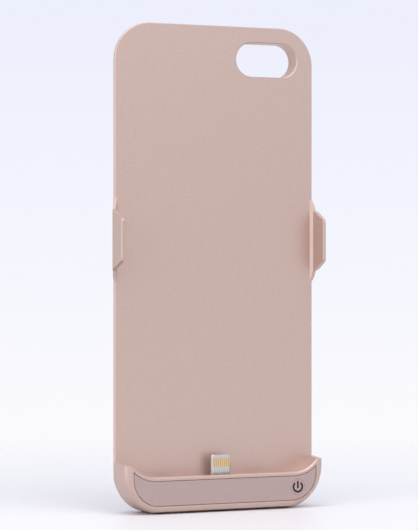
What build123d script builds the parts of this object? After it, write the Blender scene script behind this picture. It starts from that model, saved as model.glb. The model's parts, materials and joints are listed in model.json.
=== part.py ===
from build123d import *
from math import radians, sqrt, tan
import os

# A slim battery charging case: a tray with side clips and a powered chin, closed by a back pan with the cell.
# Millimetres. +Z is up, the front faces -Y, and the origin is under the middle of the case.

# Case outline and shells
CASE_WIDTH = 67.4
CASE_HEIGHT = 149.3
CASE_DEPTH = 14.5
TOP_CORNER = 11.6
FOOT_CORNER = 13.0
FRONT_ROUND = 2.4  # round of the chin's front edges
FOOT_LIFT = 1.0  # how far the chin's foot slopes up at the front
FOOT_LIFT_DEPTH = 4.0  # how far back the slope starts
SIDE_RADIUS = 8.6  # round of the pan's sides and top
FOOT_ROUND = 0.8  # round between the flat foot and the back
FOOT_DRAFT = 20  # degrees that the pan's foot corners lean in towards the back
FOOT_DRAFT_CORNER = 13.9  # radius of those corners at the back
FOOT_DRAFT_CLEAR = 0.3  # beyond the case's sides, which lean in by themselves
PARTING_BEVEL = 0.15  # fine groove where the two shells meet
TRAY_BEVEL = 0.25  # around the tray's face
PAN_WALL = 1.0
TRAY = 0.9
CHIN_WALL = 1.2

# Bay over the chin, in front of the tray
BAY_DEPTH = 7.3  # front lip to tray face
BAY_FLOOR = 10.6  # height of the floor
BAY_CORNER = 10.2
HORN_FRONT = 15.0  # heights of the horns at the front and at the tray
HORN_BACK = 15.6
LIP = 0.7  # how far the front lip stands in over the bay
LIP_DEPTH = 0.9
LIP_BEVEL = 0.35

# Fascia, an inlay glued into a seat on the chin's front
FASCIA_SIDE = 2.75  # borders left around the seat
FASCIA_FOOT = 2.5
FASCIA_HEAD = 1.05
FASCIA_CORNER = 8.4
FASCIA = 0.8
FASCIA_SUNK = 0.08
FASCIA_GROOVE = 0.2
FASCIA_BACKING = 1.1  # wall left behind the seat

# Side clips
CLIP_HEIGHT = 83.0  # middle of the clip above the foot
CLIP_TIP = 12.6  # length of the front edge
CLIP_ROOT = 18.8  # length where the tab leaves the tray
CLIP_FLARE = 3.3  # ramp above and below the root
CLIP_WALL = 1.5
CLIP_LEAN = 0.5  # how far the outer face leans in towards the front edge
CLIP_SET = 0.7  # front edge behind the chin's front
CLIP_BEVEL = 0.15
CLIP_CORNER = 1.3
CLIP_FILLET = 0.8  # thickening in the corner of tab and tray
CLIP_FADE = 2.7  # depth over which the tab runs out to the case's side

# Power key and its switch
KEY_SIDE = 9.2  # middle of the key from the case's side
KEY_RAISE = 0.3  # above the middle of the fascia
KEY_DIAMETER = 4.8
KEY_GAP = 0.06
KEY_TRAVEL = 0.3
KEY_EAR = 0.7  # ears beyond the key's side, which hold it in
KEY_EAR_TALL = 4.0
KEY_EAR_THICK = 0.6
KEY_STEM = 1.8
SWITCH_SIZE = 3.4
SWITCH_TALL = 1.4
PLUNGER = 1.6
PLUNGER_OUT = 0.7
PLUNGER_IN = 0.5
PLUNGER_GAP = 0.05
PLUNGER_END = 0.1  # bore left behind the pressed plunger

# Charge port at the foot, on the main board
PORT_WIDTH = 9.0
PORT_DEPTH = 3.2
PORT_LENGTH = 5.0
PORT_SET = 0.3  # mouth above the foot
PORT_METAL = 0.3
PORT_GAP = 0.15  # around the port in the foot
PORT_CLEAR = 1.05  # between the port and the chin's front wall
PORT_TONGUE = 0.7
PORT_TONGUE_SIDE = 1.2
PORT_TONGUE_SET = 0.6  # tongue behind the mouth

# Plug that stands in the bay
PLUG_WIDTH = 6.6
PLUG_THICK = 1.5
PLUG_TALL = 6.6
PLUG_ROOT = 2.0
PLUG_BASE = 10.0
PLUG_CLEAR = 0.4  # base above the charge port
PLUG_SET = 0.2  # base behind the chin's front wall
PLUG_COLLAR = 0.9  # collar around the tongue
PLUG_GAP = 0.1
PLUG_BEVEL = 0.3  # around the tongue's end
PAD_COUNT = 8
PAD_PITCH = 0.7
PAD_WIDTH = 0.45
PAD_TALL = 2.8
PAD = 0.1
PAD_SET = 1.0  # below the tongue's end

# Sound openings, one in the bay's floor and a row in the foot on each side
SOUND_XS = (-16.5, 14.0)
SOUND_WIDTH = 6.4
SOUND_DEPTH = 2.2
SLOT_COUNT = 3
SLOT_PITCH = 2.5
SLOT_WIDTH = 1.1
SLOT_LENGTH = 3.4

# Main board, upright across the chin, and the parts on it
BOARD = 0.8
BOARD_GAP = 0.4  # to the chin's walls
SCREW_SIDE = 11.7  # left screw from the case's side
SCREW_KEY = 8.95  # right screw from the key
SCREW = 1.2
SCREW_HEAD = 2.2
SCREW_HEAD_THICK = 0.7
SCREW_HOLD = 2.2  # thread inside the boss
BOSS = 3.2
INDUCTOR = 4.2
INDUCTOR_TALL = 2.0
CHIP = 3.0
CHIP_TALL = 0.9
CAPACITOR = 1.2
CAPACITOR_TALL = 1.1
CAPACITOR_LENGTH = 2.0
CAPACITOR_KEY = 5.35  # the capacitor beside the key's switch, from the key
CAPACITOR_SHARE = 0.2025  # of the room beside the control chip's capacitor, the share on the chip's side
PART_GAP = 0.8  # between neighbours on the board

# Lamps and light guide
LAMP_COUNT = 4
LAMP_PITCH = 4.0
LAMP_HEIGHT = 6.3
LAMP = 0.6
GUIDE_PIN = 1.4
GUIDE_BAR = 1.4
GUIDE_EDGE = 0.3  # bar beyond the pins
GUIDE_GAP = 0.06

# Camera window, through the tray and the pan
WINDOW_SIDE = 15.9  # middle of the window from the case's side and from its top
WINDOW_DROP = 10.1
WINDOW_WIDE = 21.0
WINDOW_TALL = 10.5
WINDOW_BEVEL = 0.6
WINDOW_EDGE = 0.3  # bevel on the tray's side
WINDOW_COLLAR = 1.0

# Cell and its leads
CELL_LOW = 19.7
CELL_SIDE = 6.7  # space beside the cell, to the case's side
CELL_HEAD = 22.25  # space between the cell and the window
CELL_GAP = 0.75  # space behind the cell
CELL_CORNER = 1.2
TAPE = 0.15
TAPE_BORDER = 2.0
GUARD_WIDTH = 34.0  # protection board
GUARD_HEIGHT = 4.0
GUARD = 0.8
GUARD_DROP = 1.5  # below the cell
TAB_SET = 5.0  # tabs from the ends of the protection board
TAB_WIDTH = 4.0
TAB = 0.15
FLEX_SET = 5.5  # ribbon from the end of the protection board
FLEX_WIDTH = 5.0
FLEX_SLOPE = 2.0  # height over which the ribbon crosses to the main board
FLEX_LANDING = 2.0  # ribbon's end above the main board's lower edge

OVER = 1.0  # how far a cutter runs past the face it opens

# Places that follow from the sizes
HALF = CASE_WIDTH / 2
FRONT = -CASE_DEPTH / 2
BACK = CASE_DEPTH / 2
TRAY_FACE = FRONT + LIP_DEPTH + BAY_DEPTH
PARTING = TRAY_FACE + TRAY
SIDE_DRAW = sqrt(SIDE_RADIUS**2 - max(0, SIDE_RADIUS - (BACK - PARTING)) ** 2)  # how far the sides come in
SEAT = FRONT + FASCIA_SUNK + FASCIA
CHIN_INSIDE = SEAT + FASCIA_BACKING
CHIN_TOP = BAY_FLOOR - CHIN_WALL
BAY_MIDDLE = TRAY_FACE - BAY_DEPTH / 2
BOARD_FRONT = CHIN_INSIDE + PORT_CLEAR + PORT_DEPTH
BOARD_BACK = BOARD_FRONT + BOARD
BOARD_LOW = CHIN_WALL + BOARD_GAP
BOARD_MIDDLE = (CHIN_WALL + CHIN_TOP) / 2
PORT_Y = BOARD_FRONT - PORT_DEPTH / 2
PORT_TOP = PORT_SET + PORT_LENGTH
KEY_X = HALF - KEY_SIDE
KEY_HEIGHT = (FASCIA_FOOT + BAY_FLOOR + LIP - FASCIA_HEAD) / 2 + KEY_RAISE
SWITCH_FACE = BOARD_FRONT - SWITCH_TALL
PLUNGER_TIP = SWITCH_FACE - PLUNGER_OUT
SCREW_XS = (SCREW_SIDE - HALF, KEY_X - SCREW_KEY)
CHIP_X = PLUG_BASE / 2 + PART_GAP + CHIP / 2
CHIP_END = CHIP_X + CHIP / 2
INDUCTOR_X = -(CHIP_END + PART_GAP + INDUCTOR / 2)
CAPACITOR_ROOM = SCREW_XS[1] - BOSS / 2 - CHIP_END - CAPACITOR  # left between the control chip and the boss
CAPACITOR_XS = (
    INDUCTOR_X - INDUCTOR / 2 - PART_GAP - CAPACITOR / 2,
    CHIP_END + CAPACITOR_SHARE * CAPACITOR_ROOM + CAPACITOR / 2,
    KEY_X - CAPACITOR_KEY,
)
LAMP_XS = [LAMP_PITCH * (i - (LAMP_COUNT - 1) / 2) for i in range(LAMP_COUNT)]
WINDOW_X = HALF - WINDOW_SIDE
WINDOW_HEIGHT = CASE_HEIGHT - WINDOW_DROP
CELL_FACE = PARTING + TAPE
CELL_BACK = BACK - PAN_WALL - CELL_GAP
CELL_WIDTH = CASE_WIDTH - 2 * CELL_SIDE
CELL_TOP = WINDOW_HEIGHT - WINDOW_TALL / 2 - CELL_HEAD
GUARD_TOP = CELL_LOW - GUARD_DROP
GUARD_LOW = GUARD_TOP - GUARD_HEIGHT
GUARD_BACK = CELL_FACE + GUARD
TAB_LOW = GUARD_TOP - GUARD_DROP
TAB_X = GUARD_WIDTH / 2 - TAB_SET
FLEX_X = FLEX_SET - GUARD_WIDTH / 2


def prism(sketch, y_front, y_back, taper=0):
    """A sketch in x and z as a solid between two depths."""
    return extrude(Plane.XZ.offset(-y_back) * sketch, y_back - y_front, taper=taper)


def bar(sketch, x_left, x_right):
    """A sketch in y and z as a solid between two places across the case."""
    return extrude(Plane.YZ.offset(x_left) * sketch, x_right - x_left)


def post(sketch, z_low, z_high):
    """A sketch in x and y as a solid between two heights."""
    return extrude(Plane.XY.offset(z_low) * sketch, z_high - z_low)


def polygon(*points):
    return make_face(Polyline(*points, close=True))


def block(x, width, y_front, y_back, z_low, z_high):
    return prism(Pos(x, (z_low + z_high) / 2) * Rectangle(width, z_high - z_low), y_front, y_back)


def disc(x, z, diameter, y_front, y_back):
    return prism(Pos(x, z) * Circle(diameter / 2), y_front, y_back)


def upright(half, z_low, z_high, low_corner, high_corner):
    """An upright outline with one radius at its lower corners and one at its upper."""
    sketch = Pos(0, (z_low + z_high) / 2) * Rectangle(2 * half, z_high - z_low)
    sketch = fillet(sketch.vertices().group_by(Axis.Y)[0], low_corner)
    return fillet(sketch.vertices().group_by(Axis.Y)[-1], high_corner)


def case_outline(inset):
    return upright(HALF - inset, inset, CASE_HEIGHT - inset, FOOT_CORNER - inset, TOP_CORNER - inset)


def bay_outline(inset):
    """The bay's outline, open above the case."""
    return upright(HALF - inset, BAY_FLOOR + inset, CASE_HEIGHT + BAY_CORNER, BAY_CORNER - inset, TOP_CORNER)


def fascia_outline(inset):
    """The band on the chin's front, whose ends rise into the horns."""
    half = HALF - FASCIA_SIDE - inset
    band = upright(half, FASCIA_FOOT + inset, CASE_HEIGHT, FASCIA_CORNER - inset, TOP_CORNER)
    return band - bay_outline(LIP - FASCIA_HEAD - inset)


def chin_outline(inset):
    """The inside of the chin, under the bay's floor."""
    top = CHIN_TOP + CHIN_WALL - inset
    return case_outline(inset) & Pos(0, top / 2) * Rectangle(CASE_WIDTH, top)


def key_hole(y_front, y_back):
    return disc(KEY_X, KEY_HEIGHT, KEY_DIAMETER + 2 * KEY_GAP, y_front, y_back)


def window(spread, y_front, y_back, taper=0):
    outline = SlotOverall(WINDOW_WIDE + 2 * spread, WINDOW_TALL + 2 * spread)
    return prism(Pos(WINDOW_X, WINDOW_HEIGHT) * outline, y_front, y_back, taper)


def pan_body(inset):
    """The pan drawn in by a wall: its sides and top round over into the back, and its foot stays flat."""
    grow = SIDE_RADIUS - SIDE_DRAW - inset
    corner = TOP_CORNER + grow
    slab = upright(HALF + grow, -2 * SIDE_RADIUS, CASE_HEIGHT + grow, corner, corner)
    slab = prism(slab, PARTING - SIDE_RADIUS, BACK - inset)
    slab = fillet(slab.faces().sort_by(Axis.Y)[-1].edges(), SIDE_RADIUS - inset)
    half = HALF + FOOT_DRAFT_CLEAR - (BACK - PARTING) * tan(radians(FOOT_DRAFT)) - inset
    draft = upright(half, inset, CASE_HEIGHT + 2 * SIDE_RADIUS, FOOT_DRAFT_CORNER - inset, TOP_CORNER)
    return slab & prism(case_outline(inset), PARTING, BACK) & prism(draft, PARTING, BACK, taper=-FOOT_DRAFT)


def make_back_cover():
    profile = Pos((PARTING + BACK) / 2, CASE_HEIGHT / 2) * Rectangle(BACK - PARTING, CASE_HEIGHT)
    profile = fillet(profile.vertices().group_by(Axis.X)[-1].sort_by(Axis.Y)[0], FOOT_ROUND)
    body = pan_body(0) & bar(profile, -CASE_WIDTH, CASE_WIDTH)
    pan = body - pan_body(PAN_WALL)
    pan += window(WINDOW_COLLAR, PARTING, BACK) & body
    pan -= window(0, PARTING - OVER, BACK + OVER)
    pan -= window(OVER, BACK - WINDOW_BEVEL, BACK + OVER - WINDOW_BEVEL, taper=45)
    for x in LAMP_XS:
        pan -= disc(x, LAMP_HEIGHT, GUIDE_PIN + 2 * GUIDE_GAP, BACK - PAN_WALL - OVER, BACK + OVER)
    return pan


def make_clip():
    """The right-hand clip: a tab on the tray's edge that leans in and flares into the case's side."""
    tip = FRONT + CLIP_SET
    outer = HALF + CLIP_WALL
    flare = CLIP_ROOT / 2 + CLIP_FLARE
    side = polygon(
        (tip, -CLIP_TIP / 2),
        (TRAY_FACE - CLIP_FILLET, -CLIP_ROOT / 2),
        (TRAY_FACE, -flare),
        (PARTING, -flare),
        (PARTING, flare),
        (TRAY_FACE, flare),
        (TRAY_FACE - CLIP_FILLET, CLIP_ROOT / 2),
        (tip, CLIP_TIP / 2),
    )
    side = fillet(side.vertices().group_by(Axis.X)[0], CLIP_CORNER)
    clip = bar(Pos(0, CLIP_HEIGHT) * side, HALF - CLIP_FILLET - OVER, outer)
    section = polygon(
        (HALF - CLIP_FILLET, PARTING),
        (HALF, PARTING),
        (outer, PARTING - CLIP_FADE),
        (outer - CLIP_LEAN, tip + CLIP_BEVEL),
        (outer - CLIP_LEAN - CLIP_BEVEL, tip),
        (HALF + CLIP_BEVEL, tip),
        (HALF, tip + CLIP_BEVEL),
        (HALF, TRAY_FACE - CLIP_FILLET),
        (HALF - CLIP_FILLET, TRAY_FACE),
    )
    ramp = polygon(
        (HALF - CLIP_FILLET, -flare),
        (HALF, -flare),
        (outer, -CLIP_ROOT / 2),
        (outer, CLIP_ROOT / 2),
        (HALF, flare),
        (HALF - CLIP_FILLET, flare),
    )
    clip &= post(section, CLIP_HEIGHT - flare, CLIP_HEIGHT + flare)
    return clip & prism(Pos(0, CLIP_HEIGHT) * ramp, FRONT, PARTING)


def front_slab(y_front):
    """The case's outline from a depth to the parting, with the fine bevel there."""
    slab = prism(case_outline(0), y_front, PARTING)
    return chamfer(slab.faces().sort_by(Axis.Y)[-1].edges(), PARTING_BEVEL)


def make_front_frame():
    tray = front_slab(TRAY_FACE)
    tray = chamfer(tray.faces().sort_by(Axis.Y)[0].edges(), TRAY_BEVEL)
    chin = front_slab(FRONT)
    chin = fillet(chin.faces().sort_by(Axis.Y)[0].edges(), FRONT_ROUND)
    foot = [(FRONT, FOOT_LIFT), (FRONT + FOOT_LIFT_DEPTH, 0), (PARTING, 0)]
    profile = polygon(*foot, (PARTING, HORN_BACK), (TRAY_FACE, HORN_BACK), (FRONT, HORN_FRONT))
    frame = tray + (chin & bar(profile, -CASE_WIDTH, CASE_WIDTH))
    # The bay, under a bevelled lip
    frame -= prism(bay_outline(0), FRONT + LIP_DEPTH, TRAY_FACE)
    frame -= prism(bay_outline(LIP), FRONT - OVER, FRONT + LIP_DEPTH)
    lip_front = Plane.XZ.offset(-FRONT) * bay_outline(LIP - LIP_BEVEL)
    lip_back = Plane.XZ.offset(-FRONT - LIP_BEVEL) * bay_outline(LIP)
    frame -= loft([lip_front, lip_back], ruled=True)
    # Chin cavity, open to the pan, with the bosses for the board
    frame -= prism(chin_outline(CHIN_WALL), CHIN_INSIDE, PARTING)
    for x in SCREW_XS:
        frame += disc(x, BOARD_MIDDLE, BOSS, CHIN_INSIDE, BOARD_FRONT)
        frame -= disc(x, BOARD_MIDDLE, SCREW, BOARD_FRONT - SCREW_HOLD, BOARD_FRONT)
    # Fascia seat and key hole
    frame -= prism(fascia_outline(0), FRONT - OVER, SEAT)
    frame -= key_hole(FRONT - OVER, CHIN_INSIDE)
    # Plug slot, charge port mouth and sound openings
    around = 2 * (PLUG_COLLAR + PLUG_GAP)
    collar = SlotOverall(PLUG_WIDTH + around, PLUG_THICK + around)
    frame -= post(Pos(0, BAY_MIDDLE) * collar, CHIN_TOP - OVER, BAY_FLOOR + OVER)
    mouth = SlotOverall(PORT_WIDTH + 2 * PORT_GAP, PORT_DEPTH + 2 * PORT_GAP)
    frame -= post(Pos(0, PORT_Y) * mouth, -OVER, CHIN_WALL + OVER)
    slots = GridLocations(SLOT_PITCH, 0, SLOT_COUNT, 1) * SlotOverall(SLOT_LENGTH, SLOT_WIDTH, rotation=90)
    for x in SOUND_XS:
        frame -= post(Pos(x, BAY_MIDDLE) * SlotOverall(SOUND_WIDTH, SOUND_DEPTH), CHIN_TOP, BAY_FLOOR + LIP)
        frame -= [post(Pos(x, BAY_MIDDLE) * slot, -OVER, CHIN_WALL + OVER) for slot in slots]
    clip = make_clip()
    frame += [clip, mirror(clip, about=Plane.YZ)]
    frame -= window(0, TRAY_FACE - OVER, PARTING + OVER)
    return frame - window(0, TRAY_FACE - OVER + WINDOW_EDGE, TRAY_FACE + WINDOW_EDGE, taper=-45)


def make_fascia():
    fascia = prism(fascia_outline(FASCIA_GROOVE), FRONT + FASCIA_SUNK, SEAT)
    return fascia - key_hole(FRONT, SEAT)


def make_power_key():
    ears_back = CHIN_INSIDE + KEY_EAR_THICK
    low = KEY_HEIGHT - KEY_EAR_TALL / 2
    key = disc(KEY_X, KEY_HEIGHT, KEY_DIAMETER, FRONT + FASCIA_SUNK, CHIN_INSIDE)
    key += block(KEY_X, KEY_DIAMETER + 2 * KEY_EAR, CHIN_INSIDE, ears_back, low, low + KEY_EAR_TALL)
    return key + disc(KEY_X, KEY_HEIGHT, KEY_STEM, ears_back, PLUNGER_TIP)


def make_switch_body():
    low = KEY_HEIGHT - SWITCH_SIZE / 2
    body = block(KEY_X, SWITCH_SIZE, SWITCH_FACE, BOARD_FRONT, low, low + SWITCH_SIZE)
    bore = SWITCH_FACE + PLUNGER_IN + KEY_TRAVEL + PLUNGER_END
    return body - disc(KEY_X, KEY_HEIGHT, PLUNGER + 2 * PLUNGER_GAP, SWITCH_FACE, bore)


def make_main_board():
    board = prism(chin_outline(CHIN_WALL + BOARD_GAP), BOARD_FRONT, BOARD_BACK)
    for x in SCREW_XS:
        board -= disc(x, BOARD_MIDDLE, SCREW, BOARD_FRONT, BOARD_BACK)
    return board


def make_screw(x):
    screw = disc(x, BOARD_MIDDLE, SCREW_HEAD, BOARD_BACK, BOARD_BACK + SCREW_HEAD_THICK)
    return screw + disc(x, BOARD_MIDDLE, SCREW, BOARD_FRONT - SCREW_HOLD, BOARD_BACK)


def make_port_shell():
    outer = Pos(0, PORT_Y) * SlotOverall(PORT_WIDTH, PORT_DEPTH)
    inner = Pos(0, PORT_Y) * SlotOverall(PORT_WIDTH - 2 * PORT_METAL, PORT_DEPTH - 2 * PORT_METAL)
    return post(outer, PORT_SET, PORT_TOP) - post(inner, PORT_SET, PORT_TOP - 2 * PORT_METAL)


def make_port_tongue():
    tongue = Pos(0, PORT_Y) * Rectangle(PORT_WIDTH - 2 * PORT_TONGUE_SIDE, PORT_TONGUE)
    return post(tongue, PORT_SET + PORT_TONGUE_SET, PORT_TOP - 2 * PORT_METAL)


def make_plug_tongue():
    tongue = Pos(0, BAY_MIDDLE) * SlotOverall(PLUG_WIDTH, PLUG_THICK)
    tongue = post(tongue, BAY_FLOOR - PLUG_ROOT, BAY_FLOOR + PLUG_TALL)
    return chamfer(tongue.faces().sort_by(Axis.Z)[-1].edges(), PLUG_BEVEL)


def make_plug_contacts():
    high = BAY_FLOOR + PLUG_TALL - PAD_SET
    near = BAY_MIDDLE - PLUG_THICK / 2
    far = BAY_MIDDLE + PLUG_THICK / 2
    contacts = []
    for i in range(PAD_COUNT):
        x = PAD_PITCH * (i - (PAD_COUNT - 1) / 2)
        contacts.append(block(x, PAD_WIDTH, near, near + PAD, high - PAD_TALL, high))
        contacts.append(block(x, PAD_WIDTH, far - PAD, far, high - PAD_TALL, high))
    return Part() + contacts


def make_plug_base():
    base = block(0, PLUG_BASE, CHIN_INSIDE + PLUG_SET, BOARD_FRONT, PORT_TOP + PLUG_CLEAR, CHIN_TOP)
    collar = SlotOverall(PLUG_WIDTH + 2 * PLUG_COLLAR, PLUG_THICK + 2 * PLUG_COLLAR)
    return base + post(Pos(0, BAY_MIDDLE) * collar, CHIN_TOP - OVER, BAY_FLOOR)


def make_light_guide():
    """A bar behind the pan's wall, with a leg to each lamp and a pin through the wall."""
    wall = BACK - PAN_WALL
    reach = LAMP_PITCH * (LAMP_COUNT - 1) + GUIDE_PIN + 2 * GUIDE_EDGE
    low = LAMP_HEIGHT - GUIDE_PIN / 2
    high = low + GUIDE_PIN
    guide = block(0, reach, wall - GUIDE_BAR, wall, low - GUIDE_EDGE, high + GUIDE_EDGE)
    for x in LAMP_XS:
        guide += block(x, GUIDE_PIN, BOARD_BACK + LAMP, wall - GUIDE_BAR, low, high)
        guide += disc(x, LAMP_HEIGHT, GUIDE_PIN, wall, BACK)
    return guide


def make_lamps():
    low = LAMP_HEIGHT - GUIDE_PIN / 2
    lamps = [block(x, GUIDE_PIN, BOARD_BACK, BOARD_BACK + LAMP, low, low + GUIDE_PIN) for x in LAMP_XS]
    return Part() + lamps


def on_board(x, width, tall, height):
    """A part soldered to the board's front."""
    low = BOARD_MIDDLE - height / 2
    return block(x, width, BOARD_FRONT - tall, BOARD_FRONT, low, low + height)


def make_capacitors():
    return Part() + [on_board(x, CAPACITOR, CAPACITOR_TALL, CAPACITOR_LENGTH) for x in CAPACITOR_XS]


def make_cell():
    cell = block(0, CELL_WIDTH, CELL_FACE, CELL_BACK, CELL_LOW, CELL_TOP)
    return fillet(cell.edges().filter_by(Axis.Z), CELL_CORNER)


def make_tape():
    width = CELL_WIDTH - 2 * TAPE_BORDER
    return block(0, width, PARTING, CELL_FACE, GUARD_LOW, CELL_TOP - TAPE_BORDER)


def make_tabs():
    tabs = [block(x, TAB_WIDTH, GUARD_BACK, GUARD_BACK + TAB, TAB_LOW, CELL_LOW) for x in (-TAB_X, TAB_X)]
    return Part() + tabs


def make_flex():
    """The ribbon from the protection board down behind the tray to the main board."""
    start = TAB_LOW - TAB
    drop = CHIN_TOP - TAB
    end = BOARD_LOW + FLEX_LANDING
    front = [(GUARD_BACK, start), (GUARD_BACK, drop), (BOARD_BACK, drop - FLEX_SLOPE), (BOARD_BACK, end)]
    back = [(y + TAB, z) for y, z in reversed(front)]
    return bar(polygon(*front, *back), FLEX_X - FLEX_WIDTH / 2, FLEX_X + FLEX_WIDTH / 2)


plug_tongue = make_plug_tongue()
plug_contacts = make_plug_contacts()
parts = {
    "back_cover": make_back_cover(),
    "front_frame": make_front_frame(),
    "chin_fascia": make_fascia(),
    "power_key": make_power_key(),
    "switch_body": make_switch_body(),
    "switch_plunger": disc(KEY_X, KEY_HEIGHT, PLUNGER, PLUNGER_TIP, SWITCH_FACE + PLUNGER_IN),
    "main_board": make_main_board(),
    "board_screws": Part() + [make_screw(x) for x in SCREW_XS],
    "port_shell": make_port_shell(),
    "port_tongue": make_port_tongue(),
    "plug_base": make_plug_base() - plug_tongue,
    "plug_tongue": plug_tongue - plug_contacts,
    "plug_contacts": plug_contacts,
    "light_guide": make_light_guide(),
    "lamps": make_lamps(),
    "inductor": on_board(INDUCTOR_X, INDUCTOR, INDUCTOR_TALL, INDUCTOR),
    "boost_chip": on_board(-CHIP_X, CHIP, CHIP_TALL, CHIP),
    "control_chip": on_board(CHIP_X, CHIP, CHIP_TALL, CHIP),
    "capacitors": make_capacitors(),
    "cell": make_cell(),
    "cell_tape": make_tape(),
    "protection_board": block(0, GUARD_WIDTH, CELL_FACE, GUARD_BACK, GUARD_LOW, GUARD_TOP),
    "cell_tabs": make_tabs(),
    "battery_flex": make_flex(),
}

os.makedirs("parts", exist_ok=True)
for node, shape in parts.items():
    export_step(shape, f"parts/{node}.step")
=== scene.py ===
import json
from math import cos, radians, sin

import bmesh
import bpy
from mathutils import Matrix, Vector


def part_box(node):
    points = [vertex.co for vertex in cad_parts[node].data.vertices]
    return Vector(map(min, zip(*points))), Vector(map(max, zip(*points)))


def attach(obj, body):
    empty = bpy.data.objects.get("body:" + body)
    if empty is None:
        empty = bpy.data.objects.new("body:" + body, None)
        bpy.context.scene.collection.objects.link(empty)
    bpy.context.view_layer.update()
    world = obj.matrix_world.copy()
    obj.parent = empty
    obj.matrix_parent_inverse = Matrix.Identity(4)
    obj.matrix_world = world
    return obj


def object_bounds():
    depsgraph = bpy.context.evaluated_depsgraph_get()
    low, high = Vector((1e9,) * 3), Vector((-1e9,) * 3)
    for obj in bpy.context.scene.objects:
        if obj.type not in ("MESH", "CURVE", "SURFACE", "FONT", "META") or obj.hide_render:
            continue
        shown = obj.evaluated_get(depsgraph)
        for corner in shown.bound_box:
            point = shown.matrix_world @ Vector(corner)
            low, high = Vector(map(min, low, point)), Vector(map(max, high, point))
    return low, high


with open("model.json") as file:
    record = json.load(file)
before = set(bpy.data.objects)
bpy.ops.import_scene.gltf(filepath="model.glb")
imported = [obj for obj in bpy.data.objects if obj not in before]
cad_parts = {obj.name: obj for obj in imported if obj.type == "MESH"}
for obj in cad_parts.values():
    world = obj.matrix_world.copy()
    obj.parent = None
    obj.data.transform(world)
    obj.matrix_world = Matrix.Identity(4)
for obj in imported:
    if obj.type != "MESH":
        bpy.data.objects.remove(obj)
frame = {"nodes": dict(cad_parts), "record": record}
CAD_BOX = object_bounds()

MM = 0.001

# Standby mark on the power key
MARK_RADIUS = 1.53 * MM  # middle of the ring's stroke
MARK_STROKE = 0.62 * MM
MARK_GAP = 80  # degrees left open at the top
MARK_STEPS = 40  # faces along the ring
MARK_BAR_TOP = 1.78 * MM  # above the ring's middle
MARK_BAR_FOOT = -0.45 * MM
MARK_BAR_ROUND = 0.08 * MM
MARK_BAR_STEPS = 3  # faces round each corner of the bar
MARK_INK = 0.03 * MM  # thickness of the printed ink
MARK_SUNK = 0.01 * MM  # how far the ink is set into the key's face

# Patterns of the finishes
FLAKE = 0.35 * MM  # real flake is near 0.03 mm, drawn this coarse to show
FLAKE_SHEEN = 0.06  # how far the flake moves the lacquer's roughness, up and down
MOULD_BITE = 0.15 * MM
ROLLING_LINES = 0.12 * MM
ROLLING_STRETCH = 25  # length of a rolling line against its width
ROLLING_SHEEN = 0.08  # how far the lines move the plating's roughness, up and down
GLASS_WEAVE = 0.5 * MM
FLOW_CLOUDS = 1.5 * MM
FERRITE_GRAINS = 0.2 * MM
FOIL_CREASES = 6 * MM
FILM_CLOUDS = 2 * MM
INK_MOTTLE = 0.3 * MM
ROLLER_MOTTLE = 40 * MM

# Camera, level and left of the case's front
CAMERA_TURN = radians(-25.3)
CAMERA_LENS = 163.0  # focal length in millimetres
CAMERA_AWAY = 733.2 * MM  # from the middle of the chin's front
CAMERA_ASIDE = -5.43 * MM
CAMERA_HEIGHT = 75.4 * MM

# Studio, with lengths in metres
FLOOR_HALF = 1.5  # from the middle to an edge
FLOOR_FADE = (0.07, 0.32)  # distances between which the floor melts into the backdrop
FLOOR_COLOURS = ("F2F2F9", "F4F4FB")
FLOOR_BOUNCE = "D6D4D6"  # what the floor gives back to the case's underside
BACKDROP_HIGH = "EDEFFC"
BACKDROP_LOW = "FAFAFE"
BACKDROP_RISE = (-0.065, 0.095)  # rise of the view between which the backdrop darkens
SKY_LIGHT = (0.25, 0.9)  # at the horizon and overhead
# Lamp name, place, point it looks at, width and height, power in watts
LAMPS = (
    ("top_softbox", (-0.15, -0.35, 0.95), (0.0, 0.0, 0.05), (0.9, 0.7), 3.7),
    ("left_softbox", (-0.95, -0.25, 0.35), (0.0, 0.0, 0.07), (0.5, 0.9), 2.4),
    ("front_fill", (0.2, -0.85, 0.6), (0.0, 0.0, 0.05), (0.8, 0.5), 1.5),
)

# Three inputs and the output of a Mix node for colours, by number because it has several of each name
MIX_SHARE = 0
MIX_FROM = 6
MIX_TO = 7
MIXED = 2


def linear(code):
    """A hex sRGB colour as the linear colour that a socket takes."""
    parts = [int(code[i : i + 2], 16) / 255 for i in (0, 2, 4)]
    return [p / 12.92 if p <= 0.04045 else ((p + 0.055) / 1.055) ** 2.4 for p in parts] + [1.0]


def add(tree, kind, inputs=None, **settings):
    """Adds a node with its settings, then sets or links its inputs."""
    node = tree.nodes.new(kind)
    for name, value in settings.items():
        setattr(node, name, value)
    for socket, value in (inputs or {}).items():
        if isinstance(value, bpy.types.NodeSocket):
            tree.links.new(value, node.inputs[socket])
        else:
            node.inputs[socket].default_value = value
    return node


def start_material(name):
    """A new material, its empty node tree and the object coordinates in it."""
    material = bpy.data.materials.new(name)
    material.use_nodes = True
    tree = material.node_tree
    tree.nodes.clear()
    return material, tree, add(tree, "ShaderNodeTexCoord").outputs["Object"]


def close_material(tree, surface):
    """Gives the material its shader, with these inputs, and sends that to the output."""
    shader = add(tree, "ShaderNodeBsdfPrincipled", surface)
    add(tree, "ShaderNodeOutputMaterial", {"Surface": shader.outputs[0]})


def seen_rays(tree):
    """One for the rays of the lens and of reflections, nought for the light that lands on the case."""
    path = add(tree, "ShaderNodeLightPath").outputs
    seen = path["Is Camera Ray"]
    for kind in ("Is Glossy Ray", "Is Transmission Ray"):
        seen = add(tree, "ShaderNodeMath", {0: seen, 1: path[kind]}, operation="MAXIMUM").outputs[0]
    return seen


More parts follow.
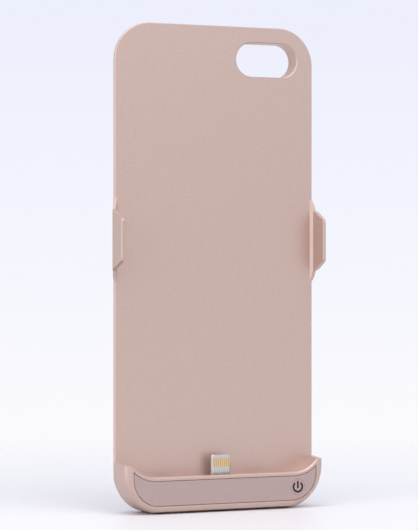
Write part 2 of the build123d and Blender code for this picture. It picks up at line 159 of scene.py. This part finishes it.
def metallic_lacquer(name, pale, deep, metallic, roughness):
    # Metallic lacquer sprayed on moulded polycarbonate: a satin sheen, soft highlights along the rounds,
    # and flake that makes the colour sparkle a little.
    material, tree, place = start_material(name)
    flake = add(tree, "ShaderNodeTexNoise", {"Vector": place, "Scale": 1 / FLAKE, "Detail": 2.0}).outputs[0]
    share = add(tree, "ShaderNodeMapRange", {"Value": flake, "From Min": 0.3, "From Max": 0.7}).outputs[0]
    colours = {MIX_SHARE: share, MIX_FROM: linear(deep), MIX_TO: linear(pale)}
    tone = add(tree, "ShaderNodeMix", colours, data_type="RGBA")
    spread = {"Value": flake, "To Min": roughness - FLAKE_SHEEN, "To Max": roughness + FLAKE_SHEEN}
    sheen = add(tree, "ShaderNodeMapRange", spread)
    peel = add(tree, "ShaderNodeBump", {"Strength": 0.15, "Distance": 0.01 * MM, "Height": flake})
    coat = {
        "Base Color": tone.outputs[MIXED],
        "Metallic": metallic,
        "Roughness": sheen.outputs[0],
        "Normal": peel.outputs[0],
    }
    close_material(tree, coat)
    return material


def moulded_black():
    # Glass-filled black plastic from a sparked tool: dull, nearly black, with a fine bite.
    material, tree, place = start_material("moulded_black_plastic")
    noise = {"Vector": place, "Scale": 1 / MOULD_BITE, "Detail": 3.0}
    bite = add(tree, "ShaderNodeTexNoise", noise).outputs[0]
    colours = {MIX_SHARE: bite, MIX_FROM: linear("0E0E10"), MIX_TO: linear("1D1C1E")}
    tone = add(tree, "ShaderNodeMix", colours, data_type="RGBA")
    relief = add(tree, "ShaderNodeBump", {"Strength": 0.3, "Distance": 0.02 * MM, "Height": bite})
    close_material(
        tree, {"Base Color": tone.outputs[MIXED], "Roughness": 0.52, "Normal": relief.outputs[0]}
    )
    return material


def plated_metal(name, pale, deep, roughness):
    # Plating over rolled sheet: bright, with the sheet's faint upright rolling lines.
    material, tree, place = start_material(name)
    rolled = add(tree, "ShaderNodeMapping", {"Vector": place, "Scale": (1, 1, 1 / ROLLING_STRETCH)})
    noise = {"Vector": rolled.outputs[0], "Scale": 1 / ROLLING_LINES, "Detail": 3.0}
    lines = add(tree, "ShaderNodeTexNoise", noise).outputs[0]
    colours = {MIX_SHARE: lines, MIX_FROM: linear(deep), MIX_TO: linear(pale)}
    tone = add(tree, "ShaderNodeMix", colours, data_type="RGBA")
    spread = {"Value": lines, "To Min": roughness - ROLLING_SHEEN, "To Max": roughness + ROLLING_SHEEN}
    sheen = add(tree, "ShaderNodeMapRange", spread)
    close_material(
        tree, {"Base Color": tone.outputs[MIXED], "Metallic": 1.0, "Roughness": sheen.outputs[0]}
    )
    return material


def solder_mask():
    # Green solder mask cured over glass cloth: glossy, with the weave faintly seen through it.
    material, tree, place = start_material("cured_green_solder_mask")
    cloth = {
        "Vector": place,
        "Color1": linear("124A2A"),
        "Color2": linear("165231"),
        "Scale": 1 / GLASS_WEAVE,
    }
    weave = add(tree, "ShaderNodeTexChecker", cloth)
    close_material(tree, {"Base Color": weave.outputs["Color"], "Roughness": 0.28})
    return material


def milky_polycarbonate(name, pale, deep, clearness):
    # Diffusing polycarbonate, moulded smooth: milky white with faint flow clouds.
    material, tree, place = start_material(name)
    flow = add(tree, "ShaderNodeTexNoise", {"Vector": place, "Scale": 1 / FLOW_CLOUDS, "Detail": 2.0})
    colours = {MIX_SHARE: flow.outputs[0], MIX_FROM: linear(deep), MIX_TO: linear(pale)}
    tone = add(tree, "ShaderNodeMix", colours, data_type="RGBA")
    body = {
        "Base Color": tone.outputs[MIXED],
        "Roughness": 0.3,
        "IOR": 1.58,
        "Transmission Weight": clearness,
    }
    close_material(tree, body)
    return material


def fired_ferrite():
    # Pressed and fired ferrite: dry dark grey with fine grains.
    material, tree, place = start_material("fired_ferrite")
    grain = add(tree, "ShaderNodeTexVoronoi", {"Vector": place, "Scale": 1 / FERRITE_GRAINS})
    colours = {MIX_SHARE: grain.outputs["Distance"], MIX_FROM: linear("29292B"), MIX_TO: linear("3E3D3C")}
    tone = add(tree, "ShaderNodeMix", colours, data_type="RGBA")
    close_material(tree, {"Base Color": tone.outputs[MIXED], "Roughness": 0.7})
    return material


def pouch_foil():
    # Aluminium foil laminate, pressed round a cell: soft silver with shallow creases.
    material, tree, place = start_material("pressed_foil_laminate")
    noise = {"Vector": place, "Scale": 1 / FOIL_CREASES, "Detail": 4.0}
    crease = add(tree, "ShaderNodeTexNoise", noise).outputs[0]
    colours = {MIX_SHARE: crease, MIX_FROM: linear("A9ABAF"), MIX_TO: linear("C8CACD")}
    tone = add(tree, "ShaderNodeMix", colours, data_type="RGBA")
    relief = add(tree, "ShaderNodeBump", {"Strength": 0.4, "Distance": 0.1 * MM, "Height": crease})
    foil = {
        "Base Color": tone.outputs[MIXED],
        "Metallic": 0.9,
        "Roughness": 0.36,
        "Normal": relief.outputs[0],
    }
    close_material(tree, foil)
    return material


def film(name, pale, deep, roughness):
    # Cast plastic film: one even colour with slight clouds where it lies on its glue.
    material, tree, place = start_material(name)
    cloud = add(tree, "ShaderNodeTexNoise", {"Vector": place, "Scale": 1 / FILM_CLOUDS, "Detail": 2.0})
    colours = {MIX_SHARE: cloud.outputs[0], MIX_FROM: linear(deep), MIX_TO: linear(pale)}
    tone = add(tree, "ShaderNodeMix", colours, data_type="RGBA")
    close_material(tree, {"Base Color": tone.outputs[MIXED], "Roughness": roughness})
    return material


def printed_ink():
    # Dark ink, pad-printed: flat, with a slight mottle where the pad lifted.
    material, tree, place = start_material("pad_printed_ink")
    mottle = add(tree, "ShaderNodeTexNoise", {"Vector": place, "Scale": 1 / INK_MOTTLE, "Detail": 2.0})
    colours = {MIX_SHARE: mottle.outputs[0], MIX_FROM: linear("1B1315"), MIX_TO: linear("261C20")}
    tone = add(tree, "ShaderNodeMix", colours, data_type="RGBA")
    close_material(tree, {"Base Color": tone.outputs[MIXED], "Roughness": 0.6})
    return material


def rolled_matt_paint():
    # Board rolled with matt paint: even and pale, with a faint roller mottle and hardly any sheen. It melts
    # into the backdrop further out.
    material, tree, place = start_material("rolled_matt_paint")
    mottle = add(tree, "ShaderNodeTexNoise", {"Vector": place, "Scale": 1 / ROLLER_MOTTLE, "Detail": 2.0})
    low, high = (linear(colour) for colour in FLOOR_COLOURS)
    colours = {MIX_SHARE: mottle.outputs[0], MIX_FROM: low, MIX_TO: high}
    tone = add(tree, "ShaderNodeMix", colours, data_type="RGBA")
    # Light that the floor gives back to the case takes the dimmer FLOOR_BOUNCE grey instead of the floor's
    # own colour: a painted shade on the case's underside.
    colours = {MIX_SHARE: seen_rays(tree), MIX_FROM: linear(FLOOR_BOUNCE), MIX_TO: tone.outputs[MIXED]}
    tone = add(tree, "ShaderNodeMix", colours, data_type="RGBA")
    reach = add(tree, "ShaderNodeVectorMath", {0: place}, operation="LENGTH")
    fade = {
        "Value": reach.outputs["Value"],
        "From Min": FLOOR_FADE[0],
        "From Max": FLOOR_FADE[1],
        "To Min": 1.0,
        "To Max": 0.0,
    }
    near = add(tree, "ShaderNodeMapRange", fade, interpolation_type="SMOOTHSTEP")
    paint = {
        "Base Color": tone.outputs[MIXED],
        "Roughness": 0.4,
        "Specular IOR Level": 0.1,
        "Alpha": near.outputs[0],
    }
    close_material(tree, paint)
    return material


def dress_the_case():
    """Gives each CAD piece the finish that its slot in the record names."""
    finishes = {
        "gold_lacquer": metallic_lacquer("sprayed_gold_lacquer", "D6BCB2", "CEB4AA", 0.5, 0.4),
        "gold_satin": metallic_lacquer("sprayed_satin_gold_lacquer", "C5AEAA", "BEA7A3", 0.4, 0.5),
        "black_plastic": moulded_black(),
        "board": solder_mask(),
        "steel": plated_metal("nickel_plated_steel", "D6D4D0", "BDBBB7", 0.3),
        "contact_gold": plated_metal("gold_plated_bronze", "E3B864", "D0A24C", 0.24),
        "clear_plastic": milky_polycarbonate("moulded_milky_polycarbonate", "EEF1F3", "E2E6E9", 0.3),
        "lamp_white": milky_polycarbonate("cast_white_resin", "F2F0E6", "E8E5D8", 0.0),
        "ferrite": fired_ferrite(),
        "cell_pouch": pouch_foil(),
        "tape": film("cast_adhesive_film", "DEDDD6", "D0CFC8", 0.75),
        "flex_film": film("cast_amber_polyimide", "A8631F", "93531A", 0.35),
    }
    for piece in frame["record"]["subparts"]:
        frame["nodes"][piece["node"]].material_slots[0].material = finishes[piece["material_slot"]]


def finish_piece(name, mesh, material):
    """Turns a bmesh into an object at the origin that carries one material."""
    bmesh.ops.recalc_face_normals(mesh, faces=mesh.faces)
    data = bpy.data.meshes.new(name)
    mesh.to_mesh(data)
    mesh.free()
    data.materials.append(material)
    piece = bpy.data.objects.new(name, data)
    bpy.context.scene.collection.objects.link(piece)
    return piece


def print_standby_mark():
    """An open ring and an upright bar, printed on the power key's face."""
    low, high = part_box("power_key")
    ink_middle = low.y + MARK_SUNK - MARK_INK / 2
    mesh = bmesh.new()
    # The stroke's end, spun round the key's axis from one side of the gap to the other
    stroke = bmesh.ops.create_grid(mesh, x_segments=1, y_segments=1, size=0.5)["verts"]
    bmesh.ops.scale(mesh, vec=(MARK_STROKE, MARK_INK, 1), verts=stroke)
    bmesh.ops.translate(mesh, vec=(MARK_RADIUS, 0, 0), verts=stroke)
    first = Matrix.Rotation(radians(MARK_GAP / 2 - 90), 3, "Y")
    bmesh.ops.rotate(mesh, cent=(0, 0, 0), matrix=first, verts=stroke)
    bmesh.ops.spin(
        mesh,
        geom=mesh.verts[:] + mesh.edges[:] + mesh.faces[:],
        cent=(0, 0, 0),
        axis=(0, 1, 0),
        angle=radians(360 - MARK_GAP),
        steps=MARK_STEPS,
    )
    # The bar, with its corners rounded
    bar = bmesh.ops.create_cube(mesh, size=1)["verts"]
    bmesh.ops.scale(mesh, vec=(MARK_STROKE, MARK_INK, MARK_BAR_TOP - MARK_BAR_FOOT), verts=bar)
    bmesh.ops.translate(mesh, vec=(0, 0, (MARK_BAR_TOP + MARK_BAR_FOOT) / 2), verts=bar)
    edges = [edge for edge in mesh.edges if edge.verts[0] in bar]
    corners = [edge for edge in edges if abs(edge.verts[0].co.y - edge.verts[1].co.y) > MARK_INK / 2]
    bmesh.ops.bevel(
        mesh,
        geom=corners,
        offset=MARK_BAR_ROUND,
        affect="EDGES",
        segments=MARK_BAR_STEPS,
        profile=0.5,
        material=-1,
    )
    middle = ((low.x + high.x) / 2, ink_middle, (low.z + high.z) / 2)
    bmesh.ops.translate(mesh, vec=middle, verts=mesh.verts)
    mark = finish_piece("standby_mark", mesh, printed_ink())
    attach(mark, "key")


def lay_floor():
    """A pale floor that keeps the case's shadow."""
    mesh = bmesh.new()
    bmesh.ops.create_grid(mesh, x_segments=1, y_segments=1, size=FLOOR_HALF)
    finish_piece("floor", mesh, rolled_matt_paint())


def hang_backdrop():
    """A pale backdrop that the lens and the reflections see, and a soft sky that lights the case."""
    world = bpy.data.worlds.new("studio")
    bpy.context.scene.world = world
    world.use_nodes = True
    tree = world.node_tree
    tree.nodes.clear()
    gaze = add(tree, "ShaderNodeTexCoord").outputs["Generated"]
    rise = add(tree, "ShaderNodeSeparateXYZ", {"Vector": gaze}).outputs["Z"]
    climb = {"Value": rise, "To Min": SKY_LIGHT[0], "To Max": SKY_LIGHT[1]}
    glow = add(tree, "ShaderNodeMapRange", climb)
    sky = add(tree, "ShaderNodeBackground", {"Color": linear("FFFFFF"), "Strength": glow.outputs[0]})
    height = {"Value": rise, "From Min": BACKDROP_RISE[0], "From Max": BACKDROP_RISE[1]}
    share = add(tree, "ShaderNodeMapRange", height).outputs[0]
    colours = {MIX_SHARE: share, MIX_FROM: linear(BACKDROP_LOW), MIX_TO: linear(BACKDROP_HIGH)}
    paper = add(tree, "ShaderNodeMix", colours, data_type="RGBA")
    backdrop = add(tree, "ShaderNodeBackground", {"Color": paper.outputs[MIXED], "Strength": 1.0})
    both = add(tree, "ShaderNodeMixShader", {0: seen_rays(tree), 1: sky.outputs[0], 2: backdrop.outputs[0]})
    add(tree, "ShaderNodeOutputWorld", {"Surface": both.outputs[0]})


def light_the_studio():
    """Soft lamps round the case, and a view transform that leaves the colours as they are."""
    scene = bpy.context.scene
    for name, place, aim, size, watts in LAMPS:
        lamp = bpy.data.lights.new(name, "AREA")
        lamp.shape = "RECTANGLE"
        lamp.size, lamp.size_y = size
        lamp.energy = watts
        holder = bpy.data.objects.new(name, lamp)
        holder.location = place
        holder.rotation_euler = (Vector(aim) - Vector(place)).to_track_quat("-Z", "Y").to_euler()
        scene.collection.objects.link(holder)
    scene.view_settings.view_transform = "Standard"


def set_the_camera():
    """A long lens, level with the middle of the case and turned to its left."""
    lens = bpy.data.cameras.new("camera")
    lens.lens = CAMERA_LENS
    camera = bpy.data.objects.new("camera", lens)
    away = Vector((sin(CAMERA_TURN), -cos(CAMERA_TURN), 0))
    aside = Vector((cos(CAMERA_TURN), sin(CAMERA_TURN), 0))
    chin_front = Vector((0, CAD_BOX[0].y, CAMERA_HEIGHT))
    camera.location = chin_front + away * CAMERA_AWAY + aside * CAMERA_ASIDE
    camera.rotation_euler = (radians(90), 0, CAMERA_TURN)
    bpy.context.scene.collection.objects.link(camera)
    bpy.context.scene.camera = camera


dress_the_case()
print_standby_mark()
lay_floor()
hang_backdrop()
light_the_studio()
set_the_camera()
